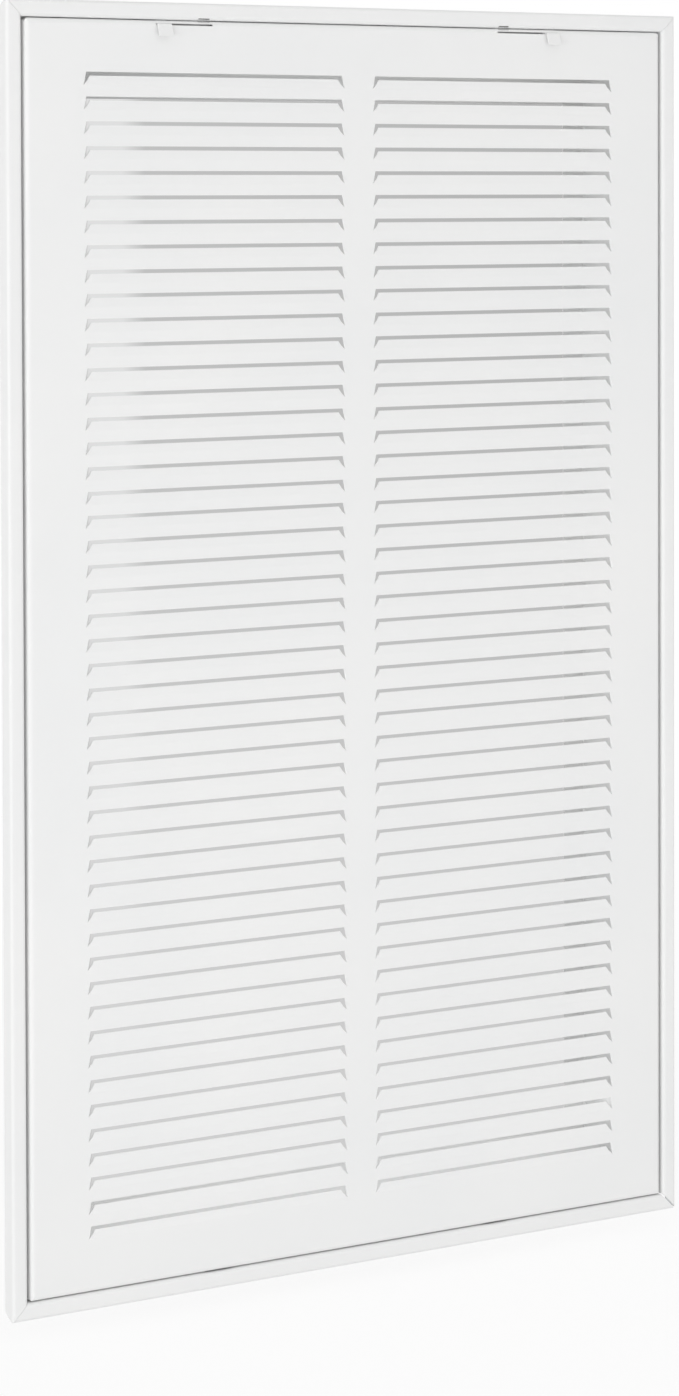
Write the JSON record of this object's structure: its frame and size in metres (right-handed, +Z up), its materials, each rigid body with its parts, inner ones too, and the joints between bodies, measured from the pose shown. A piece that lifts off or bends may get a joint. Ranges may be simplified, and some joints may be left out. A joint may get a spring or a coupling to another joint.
{
  "type": "return air filter grille",
  "caption": "White sheet steel return air grille: mitred frame with a filter channel, and a louvred door hinged at the bottom with sliding latches at the top.",
  "frame": {"origin": "centre of the four wall screws, on the wall plane", "axes": "+X to the right, +Y into the wall, +Z up; the door's face looks to -Y"},
  "size_m": [0.4208, 0.0436, 0.6748],
  "materials": {
    "painted_sheet": "satin",
    "plated_steel": "satin"
  },
  "bodies": {
    "frame": {"rail_top": "painted_sheet", "rail_bottom": "painted_sheet", "rail_left": "painted_sheet", "rail_right": "painted_sheet", "channel_top": "painted_sheet", "channel_bottom": "painted_sheet", "channel_left": "painted_sheet", "channel_right": "painted_sheet", "corner_key_top_left": "plated_steel", "corner_key_top_right": "plated_steel", "corner_key_bottom_left": "plated_steel", "corner_key_bottom_right": "plated_steel", "hinge_bracket_left": "plated_steel", "hinge_bracket_right": "plated_steel", "hinge_pin_left": "plated_steel", "hinge_pin_right": "plated_steel"},
    "door": {"door_panel": "painted_sheet", "hinge_leaf_left": "plated_steel", "hinge_leaf_right": "plated_steel", "latch_guide_left": "plated_steel", "latch_guide_right": "plated_steel"},
    "latch_left": {"latch_left": "painted_sheet"},
    "latch_right": {"latch_right": "painted_sheet"}
  },
  "joints": [
    {"name": "door_hinge", "type": "hinge", "parent": "frame", "child": "door", "pos_m": [0, -0.0058, -0.325], "axis": [1, 0, 0], "range_deg": [0, 90]},
    {"name": "latch_left_slide", "type": "slide", "parent": "door", "child": "latch_left", "axis": [1, 0, 0], "range_m": [0, 0.0246]},
    {"name": "latch_right_slide", "type": "slide", "parent": "door", "child": "latch_right", "axis": [-1, 0, 0], "range_m": [0, 0.0315]}
  ]
}
